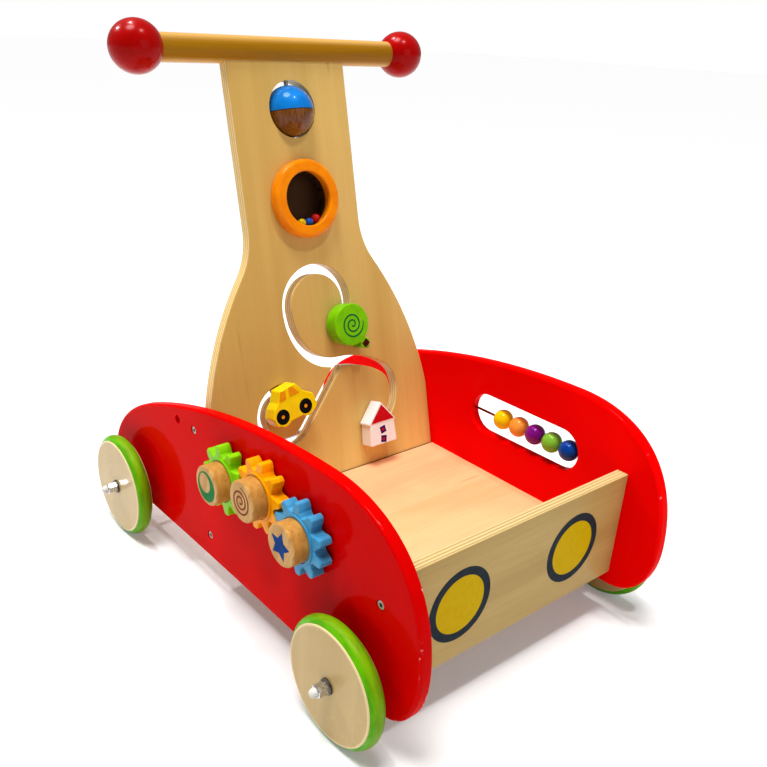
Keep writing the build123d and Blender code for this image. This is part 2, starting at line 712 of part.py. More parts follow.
# ---- Write every node ----------------------------------------------------------------------------------------------------
def build_nodes():
    sides = {"gear_side": -1, "bead_side": 1}
    axles = {"front": FRONT_AXLE_Y, "rear": REAR_AXLE_Y}
    nodes = {
        "back_board": back_board(),
        "floor_panel": floor_panel(),
        "front_panel": front_panel(),
        "handle_bar": handle_bar(),
        "handle_pegs": Compound(children=[on_board(handle_peg_local(x)) for x in (-PEG_X, PEG_X)]),
        "wheel_spacers": wheel_spacers(),
        "axle_washers": axle_washers(),
        "axle_nuts": axle_nuts(),
        "axle_caps": axle_caps(),
        "gear_pins": gear_pins(),
        "bead_rod": bead_rod_solid(),
        "spinner_ball": spinner_ball(),
        "spinner_rod": on_board(spinner_rod_local()),
        "rattle_ring": rattle_ring(),
        "rattle_window": rattle_window(),
        "rattle_back_cover": rattle_back_cover(),
        "rattle_bead_yellow": rattle_beads([(-101, -0.6)]),
        "rattle_bead_blue": rattle_beads([(-79, -0.6)]),
        "rattle_bead_red": rattle_beads([(-57, -0.6)]),
    }
    for name, side in sides.items():
        nodes[f"{name}_panel"] = side_panel(side)
        nodes[f"{name}_panel_screws"] = panel_screws(side)
        nodes[f"{name}_handle_ball"] = handle_ball(side)
        for end, y in axles.items():
            nodes[f"{end}_wheel_{name}"] = wheel_plane(side, y) * wheel_disc()
            nodes[f"{end}_tyre_{name}"] = wheel_plane(side, y) * tyre()
    for end, y in axles.items():
        nodes[f"{end}_axle"] = axle(y)
    for index, (colour, phase) in enumerate(zip(("green", "orange", "blue"), gear_phases())):
        nodes[f"{colour}_gear"] = gear_plane(index) * (Rot(0, 0, phase) * gear())
        nodes[f"{colour}_gear_knob"] = gear_plane(index) * gear_knob()
    for index, colour in enumerate(("blue", "green", "purple", "orange", "yellow")):
        nodes[f"{colour}_bead"] = bead(index)
    toys = {
        "balloon": (balloon_face(), on_loop(LOOP_TOP, BALLOON_AT)),
        "house": (house_face(), on_loop(LOOP_RIGHT, HOUSE_AT)),
        "car": (car_face(), on_loop(LOOP_LEFT, CAR_AT)),
    }
    for name, (face, at) in toys.items():
        nodes[f"{name}_block"] = toy_block(face, at)
        nodes[f"{name}_peg"] = track_peg(at)
    return nodes


os.makedirs("parts", exist_ok=True)
for node, solid in build_nodes().items():
    export_step(solid, f"parts/{node}.step")
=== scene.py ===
import json
from math import cos, pi, radians, sin

import bpy
from mathutils import Matrix, Vector


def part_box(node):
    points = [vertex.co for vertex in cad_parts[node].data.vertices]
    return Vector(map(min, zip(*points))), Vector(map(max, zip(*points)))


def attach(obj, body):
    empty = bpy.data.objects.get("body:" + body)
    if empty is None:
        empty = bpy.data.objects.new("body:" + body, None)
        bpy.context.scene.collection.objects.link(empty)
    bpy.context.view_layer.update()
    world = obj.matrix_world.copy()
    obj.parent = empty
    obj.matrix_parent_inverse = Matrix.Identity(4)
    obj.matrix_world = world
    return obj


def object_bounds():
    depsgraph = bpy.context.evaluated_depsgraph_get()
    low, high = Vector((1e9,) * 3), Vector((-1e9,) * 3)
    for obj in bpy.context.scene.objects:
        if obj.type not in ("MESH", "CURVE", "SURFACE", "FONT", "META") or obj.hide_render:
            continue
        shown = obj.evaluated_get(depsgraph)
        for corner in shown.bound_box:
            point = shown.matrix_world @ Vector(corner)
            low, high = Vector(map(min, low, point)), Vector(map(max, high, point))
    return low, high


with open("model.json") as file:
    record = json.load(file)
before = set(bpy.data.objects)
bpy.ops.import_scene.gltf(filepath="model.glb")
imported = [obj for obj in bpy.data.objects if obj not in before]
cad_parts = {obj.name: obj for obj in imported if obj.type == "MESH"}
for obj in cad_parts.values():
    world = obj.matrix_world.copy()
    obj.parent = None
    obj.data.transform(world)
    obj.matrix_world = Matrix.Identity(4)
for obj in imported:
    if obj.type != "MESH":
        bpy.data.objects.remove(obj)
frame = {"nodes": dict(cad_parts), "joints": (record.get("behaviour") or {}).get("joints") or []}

MM = 0.001
CAD_LOW, CAD_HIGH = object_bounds()
NODES = frame["nodes"]
JOINTS = {joint["name"]: joint for joint in frame["joints"]}

# The directions of the leaning board, taken from the rattle, whose axis stands square to it.
ACROSS = Vector((1, 0, 0))
BOARD_OUT = Vector(JOINTS["rattle_spin"]["axis"]).normalized()
if BOARD_OUT.y > 0:
    BOARD_OUT = -BOARD_OUT
BOARD_UP = BOARD_OUT.cross(ACROSS)
LEAN = Vector((0, 0, 1)).angle(BOARD_UP)
RATTLE_AT = Vector(JOINTS["rattle_spin"]["pos_m"])
SPINNER_AT = Vector(JOINTS["spinner_ball_spin"]["pos_m"])

# Printed details: sizes in millimetres, measured from the middle of the part that carries them.
PRINT_LIFT = 0.12
PRINT_DEPTH = 0.3
HEADLIGHT_ACROSS = 70.0
HEADLIGHT_DARK_RADIUS = 34.0
HEADLIGHT_YELLOW_RADIUS = 26.5
CRESCENT_OUTER = (-0.3, -1.0, 13.9)
CRESCENT_INNER = (-2.9, 1.7, 9.1)
KNOB_SPIRAL = {
    "middle": (-1.3, -0.3), "radii": (13.0, 1.2), "start": 90.0, "turns": 2.63, "line": 1.7,
}
BALLOON_SPIRAL = {
    "middle": (0.6, 0.2), "radii": (13.8, 1.0), "start": 9.0, "turns": 2.45, "line": 1.7,
}
STAR_MIDDLE = (-0.8, -0.6)
STAR_TIP_RADIUS = 13.0
STAR_NOTCH_RADIUS = 6.6
STAR_TURN = 7.0
KNOT_DIAMOND = ((15.8, -16.4), (20.0, -21.7), (14.2, -26.0), (10.0, -21.2))
CAR_TURN = 10.7
CAR_WHEEL_LINE = (-4.4, -20.2)
CAR_WHEELS_APART = 28.0
CAR_WHEEL_RADIUS = 7.6
CAR_HUB_RADIUS = 1.8
CAR_WINDOWS = (
    ((-9.1, 24.6), (-3.5, 23.4), (-5.1, 15.0), (-13.4, 15.3)),
    ((0.7, 24.9), (5.2, 24.6), (10.8, 16.2), (-0.6, 16.0)),
)
HOUSE_GABLE = ((-1.7, 26.4), (13.6, 8.6), (-17.6, 8.1))
HOUSE_SHUTTERS = ((-2.5, -0.7, 12.0), (-2.6, -11.0, -10.0))
SHUTTER_WIDTH = 7.4
SHUTTER_MIDDLE_WIDTH = 3.2

# Distances in metres from the rattle's axis, or along it from its pivot, where its finish changes
# and its painted dark shade begins.
RATTLE_BORE = 26.7 * MM
RATTLE_SEAT = 6.0 * MM
RATTLE_FLOOR = 12.7 * MM
RATTLE_REAR = 0.3 * MM

# Finishes.
LACQUER_IOR = 1.2
PLY_LAYER = 3.4 * MM
PLY_LAYER_WANDER = 0.5 * MM
WHEEL_EDGE = (47.4 * MM, 48.2 * MM)
SPINNER_SHADOW_LINE = 0.4 * MM

# Studio: powers in watts, the key in watts a square metre and degrees, sizes in metres.
WORLD_STRENGTH = 0.22
FLOOR_GLOW = 0.16
KEY_STRENGTH, KEY_SPREAD = 2.7, 22
LAMP_AWAY, LAMP_SIZE, LAMP_POWER = 1.7, 0.12, 9
FILL_SIZE, FILL_POWER = 0.9, 2.5
LAMPS = {
    "rear_left": (-0.414, 0.591, 0.686),
    "overhead": (-0.057, 0.387, 0.921),
    "overhead_near": (0.14, -0.276, 0.956),
}

# Camera: angles in degrees, and its place in metres.
CAMERA_AT = (-0.48662, -0.56985, 0.50762)
CAMERA_YAW, CAMERA_PITCH, CAMERA_ROLL = 40.5, 24.91, 3.12


def sheen_of(paint):
    """The tint of a paint's sheen: mostly its own hue, so that reflections don't grey it."""
    top = max(paint[:3])
    return (*[0.12 + 0.88 * c / top for c in paint[:3]], 1.0)


def colour(red, green, blue):
    """A display colour, 0 to 255 a channel, as the linear colour that a shader takes."""
    linear = []
    for c in (red, green, blue):
        linear.append(((c / 255 + 0.055) / 1.055) ** 2.4 if c > 10 else c / 255 / 12.92)
    return (*linear, 1.0)


class Finish:
    """One procedural material, built up node by node on a Principled shader."""

    def __init__(self, name, **settings):
        self.material = bpy.data.materials.new(name)
        self.material.use_nodes = True
        self.tree = self.material.node_tree
        self.shader = self.tree.nodes["Principled BSDF"]
        self.coords = self.tree.nodes.new("ShaderNodeTexCoord")
        self.shader.inputs["Specular IOR Level"].default_value = 0.25
        for key, value in settings.items():
            self.shader.inputs[key.replace("_", " ")].default_value = value

    def feed(self, socket, value):
        if isinstance(value, bpy.types.NodeSocket):
            self.tree.links.new(value, socket)
        else:
            socket.default_value = value

    def node(self, kind, feeds, **settings):
        made = self.tree.nodes.new("ShaderNode" + kind)
        for key, value in settings.items():
            setattr(made, key, value)
        for key, value in feeds.items():
            self.feed(made.inputs[key], value)
        return made

    def math(self, operation, first, second=0.0, clamp=False):
        feeds = {0: first, 1: second}
        return self.node("Math", feeds, operation=operation, use_clamp=clamp).outputs[0]

    def times(self, first, second):
        return self.math("MULTIPLY", first, second)

    def vector(self, operation, first, second=(0, 0, 0)):
        return self.node("VectorMath", {0: first, 1: second}, operation=operation)

    def place(self, stretch=(1, 1, 1), tilt=0.0, origin=(0, 0, 0)):
        """A point of the part, from origin, in axes tilted about X, and stretched."""
        feeds = {
            "Vector": self.coords.outputs["Object"],
            "Location": origin,
            "Rotation": (tilt, 0, 0),
            "Scale": [1 / s for s in stretch],
        }
        return self.node("Mapping", feeds, vector_type="TEXTURE").outputs[0]

    def along(self, direction, origin=(0, 0, 0)):
        """Distance from origin along a direction, in metres."""
        moved = self.vector("SUBTRACT", self.coords.outputs["Object"], origin)
        return self.vector("DOT_PRODUCT", moved.outputs[0], direction).outputs["Value"]

    def facing(self, direction):
        """1 where the surface faces along a direction or against it, 0 where it is edge on."""
        dot = self.vector("DOT_PRODUCT", self.coords.outputs["Normal"], direction)
        return self.math("ABSOLUTE", dot.outputs["Value"])

    def noise(self, place, scale, detail=3.0, rough=0.55, twist=0.0):
        feeds = {"Vector": place, "Scale": scale, "Detail": detail, "Roughness": rough}
        feeds["Distortion"] = twist
        return self.node("TexNoise", feeds).outputs["Fac"]

    def grain(self, stretch, detail=3.0, rough=0.55):
        """Noise with stretch waves to the metre along X, Y and Z of the part."""
        return self.noise(self.place(stretch), 1.0, detail, rough)

    def between(self, value, low, high, to_low=0.0, to_high=1.0):
        """to_low below low, to_high above high, and a smooth step from one to the other."""
        feeds = {"Value": value, "From Min": low, "From Max": high}
        feeds.update({"To Min": to_low, "To Max": to_high})
        return self.node("MapRange", feeds, interpolation_type="SMOOTHSTEP").outputs[0]

    def mix(self, share, first, second, blend="MIX"):
        made = self.node("Mix", {0: share, 6: first, 7: second}, data_type="RGBA", blend_type=blend)
        return made.outputs[2]

    def paint(self, value):
        self.feed(self.shader.inputs["Base Color"], value)

    def painted(self):
        """The colour that the material has been given so far."""
        return self.shader.inputs["Base Color"].links[0].from_socket

    def roughness(self, value):
        self.feed(self.shader.inputs["Roughness"], value)

    def bump(self, height, distance, strength=1.0):
        """Raises the surface by up to distance, in metres, where height is 1."""
        made = self.node("Bump", {"Height": height, "Distance": distance, "Strength": strength})
        self.feed(self.shader.inputs["Normal"], made.outputs[0])


def wood_colour(finish, grain_place, light, dark, streaks=1.0):
    """A veneer's colour, with broad bands and fine fibres along the grain, and those fibres."""
    broad = finish.noise(grain_place, 0.09, 2.0, 0.5, 0.6)
    band = finish.noise(grain_place, 0.42, 3.0, 0.6, 0.4)
    fibre = finish.noise(grain_place, 2.6, 3.0, 0.7)
    toned = finish.mix(finish.between(broad, 0.3, 0.7), light, dark)
    banded = finish.mix(finish.between(band, 0.45, 0.75, 0.0, 0.3 * streaks), toned, dark)
    soft = finish.between(fibre, 0.35, 0.75, 0.0, 0.34 * streaks)
    fibred = finish.mix(soft, banded, finish.mix(1.0, dark, (0.86, 0.78, 0.68, 1), "MULTIPLY"))
    return fibred, fibre


def ply(name, light, dark, grain, face, origin, tilt=0.0, streaks=1.0, gloss=0.34):
    """Lacquered birch plywood: veneer on its two faces, and its layers showing on every cut edge.
    grain is the stretch of the pattern, face the direction square to the sheet, and origin a
    point in its middle."""
    finish = Finish(
        name, Roughness=gloss, Specular_Tint=(1, 0.72, 0.4, 1), Specular_IOR_Level=0.2,
        Coat_Weight=0.12, Coat_Roughness=0.2, Coat_IOR=LACQUER_IOR,
    )
    veneer, fibre = wood_colour(finish, finish.place(grain, tilt), light, dark, streaks)
    short = [s * 0.55 if s < 100 else s * 0.5 for s in grain]
    fleck = finish.noise(finish.place(short, tilt), 1.0, 1.0, 0.4)
    rare = finish.grain((9, 9, 9), 1.0)
    spots = finish.between(fleck, 0.72, 0.79)
    marks = finish.times(spots, finish.between(rare, 0.5, 0.62))
    veneer = finish.mix(finish.times(marks, 0.45), veneer, colour(112, 84, 52))
    depth = finish.along(face, origin)
    wander = finish.grain((40, 40, 40), 2.0)
    waver = finish.times(finish.math("SUBTRACT", wander, 0.5), PLY_LAYER_WANDER)
    depth = finish.math("ADD", depth, waver)
    layer = finish.math("SINE", finish.times(depth, 2 * pi / PLY_LAYER))
    edge_fibre = finish.grain((700, 700, 700), 2.0)
    pale = finish.mix(0.35, light, colour(250, 232, 190))
    deep = finish.mix(0.22, light, colour(128, 98, 62))
    layered = finish.mix(finish.between(layer, -0.5, 0.5), deep, pale)
    dusty = finish.between(edge_fibre, 0.4, 0.8, 0.0, 0.2)
    layered = finish.mix(dusty, layered, colour(120, 92, 58))
    on_edge = finish.between(finish.facing(face), 0.55, 0.8, 1.0, 0.0)
    finish.paint(finish.mix(on_edge, veneer, layered))
    smear = finish.grain((14, 14, 14), 4.0, 0.6)
    finish.roughness(finish.between(smear, 0.3, 0.75, gloss - 0.06, gloss + 0.12))
    relief = finish.math("ADD", finish.times(fibre, 0.6), finish.times(layer, 0.18))
    finish.bump(relief, 0.00008, 0.5)
    return finish


def wheel_ply(name, hub):
    """A lacquered wheel disc: birch veneer, with a paler band where its edge is rounded over."""
    light, dark = colour(198, 170, 112), colour(184, 156, 96)
    finish = ply(name, light, dark, (6, 210, 9), (1, 0, 0), hub, 0.0, 0.5, 0.2)
    finish.shader.inputs["Coat Weight"].default_value = 0.7
    finish.shader.inputs["Coat Roughness"].default_value = 0.07
    flat = finish.vector("MULTIPLY", finish.coords.outputs["Object"], (0, 1, 1)).outputs[0]
    centre = (0, hub.y, hub.z)
    radius = finish.vector("DISTANCE", flat, centre).outputs["Value"]
    faced = finish.painted()
    rim = finish.between(radius, *WHEEL_EDGE, 0.0, 0.7)
    finish.paint(finish.mix(rim, faced, colour(236, 214, 160)))
    return finish


def beech(name, light, dark, grain, tilt=0.0, origin=(0, 0, 0), gloss=0.42, relief=0.55):
    """Turned beech: fine fibres and short dark dashes on a warm ground."""
    finish = Finish(
        name, Roughness=gloss, Specular_Tint=(1, 0.7, 0.35, 1),
        Coat_Weight=0.08, Coat_Roughness=0.3, Coat_IOR=LACQUER_IOR,
    )
    place = finish.place(grain, tilt, origin)
    tone = finish.noise(place, 0.25, 3.0, 0.6, 0.5)
    fibre = finish.noise(place, 2.2, 3.0, 0.7)
    dash = finish.noise(place, 1.1, 1.0, 0.3)
    base = finish.mix(finish.between(tone, 0.3, 0.7), light, dark)
    deep = finish.mix(0.45, dark, colour(110, 70, 34))
    base = finish.mix(finish.between(fibre, 0.35, 0.8, 0.0, 0.35), base, deep)
    base = finish.mix(finish.between(dash, 0.66, 0.74, 0.0, 0.5), base, colour(126, 84, 44))
    finish.paint(base)
    finish.roughness(finish.between(tone, 0.3, 0.7, gloss - 0.05, gloss + 0.08))
    finish.bump(fibre, 0.0001, relief)
    return finish


def panel_paint(name, body, shade):
    """Red lacquer over wood: slightly cloudy, faintly rippled, with pale chips near its nose."""
    finish = Finish(
        name, Roughness=0.3, Specular_Tint=(1, 0.12, 0.07, 1), Specular_IOR_Level=0.0,
        Coat_Weight=0.2, Coat_Roughness=0.08, Coat_IOR=LACQUER_IOR,
    )
    cloud = finish.grain((5, 5, 5), 3.0, 0.6)
    red = finish.mix(finish.between(cloud, 0.3, 0.7), body, shade)
    wear = finish.grain((330, 330, 160), 3.0, 0.7)
    patch = finish.grain((38, 38, 38), 1.0)
    rounded = finish.facing((1, 0, 0))
    off_face = finish.between(rounded, 0.9, 0.985, 1.0, 0.0)
    corner = finish.times(finish.between(rounded, 0.05, 0.2), off_face)
    forward = finish.between(finish.along((0, -1, 0), (0, CAD_LOW.y, 0)), -0.1, -0.06)
    wear_and_painted_light = finish.between(wear, 0.55, 0.6)
    chips = finish.times(wear_and_painted_light, finish.between(patch, 0.58, 0.63))
    chips = finish.math("MULTIPLY", finish.times(chips, corner), forward, True)
    finish.paint(finish.mix(chips, red, colour(244, 196, 200)))
    smear = finish.grain((22, 22, 22), 4.0, 0.65)
    finish.roughness(finish.between(smear, 0.35, 0.75, 0.26, 0.4))
    ripple = finish.grain((75, 75, 75), 2.0)
    height = finish.math("SUBTRACT", ripple, finish.times(chips, 0.8))
    finish.bump(height, 0.0002, 0.14)
    return finish


def gloss_paint(name, body, shade, coat=0.8, rough=0.26, grain=0.2):
    """Gloss paint on a small wooden part: a little uneven, with the wood's fibres under it."""
    finish = Finish(
        name, Roughness=rough, Specular_Tint=sheen_of(body),
        Coat_Weight=coat, Coat_Roughness=0.06, Coat_IOR=LACQUER_IOR,
    )
    cloud = finish.grain((60, 60, 60), 3.0, 0.6)
    finish.paint(finish.mix(finish.between(cloud, 0.3, 0.72), body, shade))
    smear = finish.grain((90, 90, 90), 4.0, 0.65)
    finish.roughness(finish.between(smear, 0.3, 0.75, rough - 0.05, rough + 0.1))
    fibre = finish.grain((500, 500, 120), 2.0)
    finish.bump(finish.math("ADD", cloud, finish.times(fibre, grain)), 0.0002, 0.3)
    return finish


def satin_plastic(name, body, shade):
    """Moulded satin plastic: a slightly cloudy colour under a fine orange-peel skin."""
    finish = Finish(
        name, Roughness=0.36, Specular_Tint=sheen_of(body),
        Coat_Weight=0.15, Coat_Roughness=0.22, Coat_IOR=LACQUER_IOR,
    )
    cloud = finish.grain((35, 35, 35), 3.0, 0.5)
    finish.paint(finish.mix(finish.between(cloud, 0.3, 0.7), body, shade))
    peel = finish.grain((900, 900, 900), 2.0)
    finish.roughness(finish.between(cloud, 0.3, 0.7, 0.32, 0.42))
    finish.bump(peel, 0.00005, 0.6)
    return finish


def tyre_rubber():
    """Lime rubber, bright on its sides, with an olive tread that is scuffed and a little dusty."""
    finish = Finish(
        "tyre_lime_rubber", Roughness=0.48, Specular_Tint=(0.6, 1, 0.15, 1),
        Coat_Weight=0.1, Coat_Roughness=0.3, Coat_IOR=LACQUER_IOR,
    )
    scuff = finish.grain((260, 45, 45), 4.0, 0.65)
    fine = finish.grain((1100, 180, 180), 2.0)
    base = finish.mix(finish.between(scuff, 0.32, 0.66), colour(88, 172, 2), colour(70, 146, 2))
    tread = finish.between(finish.facing((1, 0, 0)), 0.3, 0.8, 1.0, 0.0)
    streak = finish.times(finish.between(scuff, 0.52, 0.64), tread)
    base = finish.mix(finish.times(streak, 0.35), base, colour(44, 96, 6))
    base = finish.mix(finish.times(tread, 0.45), base, colour(132, 142, 4))
    dust = finish.times(finish.between(fine, 0.58, 0.8), tread)
    finish.paint(finish.mix(finish.times(dust, 0.22), base, colour(120, 140, 92)))
    finish.roughness(finish.between(scuff, 0.3, 0.7, 0.4, 0.62))
    finish.bump(finish.math("ADD", fine, scuff), 0.00012, 0.5)
    return finish


def metal(name, tint, rough, spots=0.0):
    """Plated steel: fine lines round the axle, and a few duller spots."""
    finish = Finish(name, Metallic=1.0, Roughness=rough, IOR=2.2)
    dull = finish.grain((300, 300, 300), 4.0, 0.6)
    lines = finish.grain((120, 900, 900), 2.0)
    darker = finish.mix(1.0, tint, (0.55, 0.53, 0.5, 1), "MULTIPLY")
    finish.paint(finish.mix(finish.between(dull, 0.5, 0.75, 0.0, 0.35 + spots), tint, darker))
    finish.roughness(finish.between(dull, 0.3, 0.75, rough - 0.06, rough + 0.16))
    finish.bump(lines, 0.00002, 0.25)
    return finish


def cap_plastic():
    """Thin milky plastic cap over the end of the axle."""
    finish = Finish(
        "cap_milky_plastic", Roughness=0.32, Coat_Weight=0.05, IOR=1.4,
        Subsurface_Weight=0.35, Subsurface_Radius=(0.004, 0.0035, 0.003), Subsurface_Scale=1.0,
    )
    cloud = finish.grain((180, 180, 180), 3.0)
    milky, dull = colour(214, 212, 202), colour(196, 194, 184)
    finish.paint(finish.mix(finish.between(cloud, 0.3, 0.7), milky, dull))
    finish.bump(cloud, 0.00015, 0.3)
    return finish


def window_plastic():
    """Clear acrylic window, faintly scratched."""
    finish = Finish(
        "window_clear_acrylic", Roughness=0.05, Transmission_Weight=1.0, IOR=1.1, Alpha=0.35,
    )
    scratch = finish.grain((900, 160, 160), 3.0, 0.7)
    finish.paint(finish.mix(finish.between(scratch, 0.6, 0.8), (1, 1, 1, 1), (0.9, 0.92, 0.95, 1)))
    finish.roughness(finish.between(scratch, 0.5, 0.8, 0.03, 0.2))
    finish.bump(scratch, 0.00002, 0.3)
    finish.material.surface_render_method = "BLENDED"
    return finish


def rattle_paint():
    """The rattle's turned ring: orange gloss in front; bare wood in the bore and behind, coloured
    very dark brown as painted shade.
    """
    finish = gloss_paint("rattle_orange_gloss", colour(250, 142, 2), colour(236, 124, 1))
    place = finish.vector("SUBTRACT", finish.coords.outputs["Object"], RATTLE_AT).outputs[0]
    out = finish.vector("DOT_PRODUCT", place, BOARD_OUT).outputs["Value"]
    length = finish.vector("LENGTH", place).outputs["Value"]
    square = finish.math("SUBTRACT", finish.times(length, length), finish.times(out, out))
    radius = finish.math("SQRT", finish.math("MAXIMUM", square, 0.0))
    painted = finish.painted()
    # Painted shade: the bare wood in the bore and behind the board is given a very dark brown, far
    # darker than the wood, standing in for the shade inside the rattle.
    grain = finish.grain((40, 400, 400), 3.0)
    wood = finish.mix(finish.between(grain, 0.35, 0.7), colour(62, 36, 17), colour(44, 24, 10))
    in_shaded_bore = finish.math("LESS_THAN", radius, RATTLE_BORE)
    inside = finish.times(in_shaded_bore, finish.math("LESS_THAN", out, RATTLE_SEAT))
    behind = finish.math("LESS_THAN", out, RATTLE_REAR)
    finish.paint(finish.mix(finish.math("MAXIMUM", inside, behind), painted, wood))
    return finish


def spinner_paint():
    """The spinning ball: its upper half in blue gloss, its lower half bare wood."""
    finish = gloss_paint("spinner_blue_and_wood", colour(14, 126, 212), colour(8, 110, 194))
    painted = finish.painted()
    grain = finish.noise(finish.place((500, 500, 60), -LEAN), 1.0, 3.0, 0.6)
    band = finish.noise(finish.place((90, 90, 20), -LEAN), 1.0, 2.0, 0.5)
    wood = finish.mix(finish.between(grain, 0.35, 0.7), colour(132, 78, 2), colour(96, 52, 1))
    wood = finish.mix(finish.between(band, 0.45, 0.7, 0.0, 0.4), wood, colour(92, 48, 8))
    height = finish.along(BOARD_UP, SPINNER_AT)
    halves = finish.mix(finish.math("GREATER_THAN", height, 0.0), wood, painted)
    # Painted shade: a thin dark line where the blue half meets the wood, standing in for a shadow
    # along the paint's edge.
    shadow_line = finish.math("LESS_THAN", finish.math("ABSOLUTE", height), SPINNER_SHADOW_LINE)
    finish.paint(finish.mix(shadow_line, halves, colour(52, 34, 20)))
    return finish


def print_ink(name, body, shade):
    """Screen-printed ink: even, satin, a little thin in places."""
    finish = Finish(name, Roughness=0.42, Specular_Tint=sheen_of(body), Specular_IOR_Level=0.03)
    thin = finish.grain((160, 160, 160), 4.0, 0.7)
    finish.paint(finish.mix(finish.between(thin, 0.35, 0.75), body, shade))
    finish.roughness(finish.between(thin, 0.3, 0.7, 0.36, 0.5))
    finish.bump(finish.grain((1200, 1200, 1200)), 0.00002, 0.5)
    return finish


def middle(node):
    low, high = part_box(node)
    return (low + high) / 2


def dress(finish, *names):
    """Gives CAD nodes a finish through their own material slots."""
    for name in names:
        for slot in NODES[name].material_slots:
            slot.link = "OBJECT"
            slot.material = finish.material


BOARD_MIDDLE = middle("back_board")


def dress_frame():
    """The panels, the board and the handle."""
    grain_up = (230, 230, 9)
    grain_across = (9, 230, 230)
    board = ply(
        "board_birch_ply", colour(222, 183, 106), colour(204, 163, 86),
        grain_up, BOARD_OUT, BOARD_MIDDLE, -LEAN, 0.5,
    )
    # Painted light: the board's lower part, from 0.1 m below its middle downwards, is made lighter
    # and paler, standing in for light thrown up onto it.
    height = board.along(BOARD_UP, BOARD_MIDDLE)
    veneer = board.painted()
    lower = board.between(height, -0.2, -0.1, 1.0, 0.0)
    board.paint(board.mix(lower, veneer, (1.2, 1.36, 1.5, 1), "MULTIPLY"))
    dress(board, "back_board")
    floor = ply(
        "floor_birch_ply", colour(240, 186, 138), colour(228, 172, 120),
        grain_across, (0, 0, 1), middle("floor_panel"),
    )
    dress(floor, "floor_panel")
    front = ply(
        "front_birch_ply", colour(192, 163, 98), colour(178, 148, 84),
        grain_across, (0, 1, 0), middle("front_panel"),
    )
    dress(front, "front_panel")
    # Painted shade: the same red lacquer in two copies, the gear side panel's darker than the bead
    # side panel's, standing in for the gear side lying more in shade.
    gear_red_painted_shade = panel_paint("gear_side_red_lacquer_painted_shade", colour(212, 2, 1), colour(196, 1, 1))
    dress(gear_red_painted_shade, "gear_side_panel")
    bead_red = panel_paint("bead_side_red_lacquer", colour(253, 1, 1), colour(242, 1, 1))
    dress(bead_red, "bead_side_panel")
    bar = beech(
        "handle_beech", colour(162, 111, 3), colour(146, 95, 1), (9, 260, 260),
        gloss=0.36, relief=0.3,
    )
    # Painted light: faces of the bar that point straight up, and those that point straight down,
    # are lightened towards pale tan, standing in for the light from above.
    wear_and_painted_light = bar.between(bar.facing((0, 0, 1)), 0.5, 0.97, 0.0, 0.95)
    bar.paint(bar.mix(wear_and_painted_light, bar.painted(), colour(204, 158, 84)))
    dress(bar, "handle_bar", "handle_pegs")
    red, deep_red = colour(168, 1, 0), colour(156, 0, 0)
    balls = gloss_paint("handle_ball_red_gloss", red, deep_red, 0.8, 0.26, 0.1)
    balls.shader.inputs["Coat Roughness"].default_value = 0.19
    balls.shader.inputs["Specular IOR Level"].default_value = 0.08
    dress(balls, "gear_side_handle_ball", "bead_side_handle_ball")
    screw = metal("screw_zinc", colour(168, 163, 158), 0.26, 0.3)
    dress(screw, "gear_side_panel_screws", "bead_side_panel_screws", "gear_pins", "spinner_rod")
    rod = gloss_paint("bead_rod_dark_red", colour(132, 20, 16), colour(104, 12, 12), 0.4, 0.36)
    dress(rod, "bead_rod")


def dress_wheels():
    ends = ("front", "rear")
    sides = ("gear_side", "bead_side")
    rubber = tyre_rubber()
    for end in ends:
        disc = wheel_ply(f"{end}_wheel_birch_ply", middle(f"{end}_wheel_gear_side"))
        for side in sides:
            dress(disc, f"{end}_wheel_{side}")
            dress(rubber, f"{end}_tyre_{side}")
    dress(metal("axle_zinc", colour(206, 206, 210), 0.24), "front_axle", "rear_axle", "axle_nuts")
    dress(metal("washer_dark_steel", colour(92, 88, 84), 0.4), "axle_washers")
    spacer = satin_plastic("spacer_black_plastic", colour(36, 36, 38), colour(24, 24, 26))
    dress(spacer, "wheel_spacers")
    dress(cap_plastic(), "axle_caps")


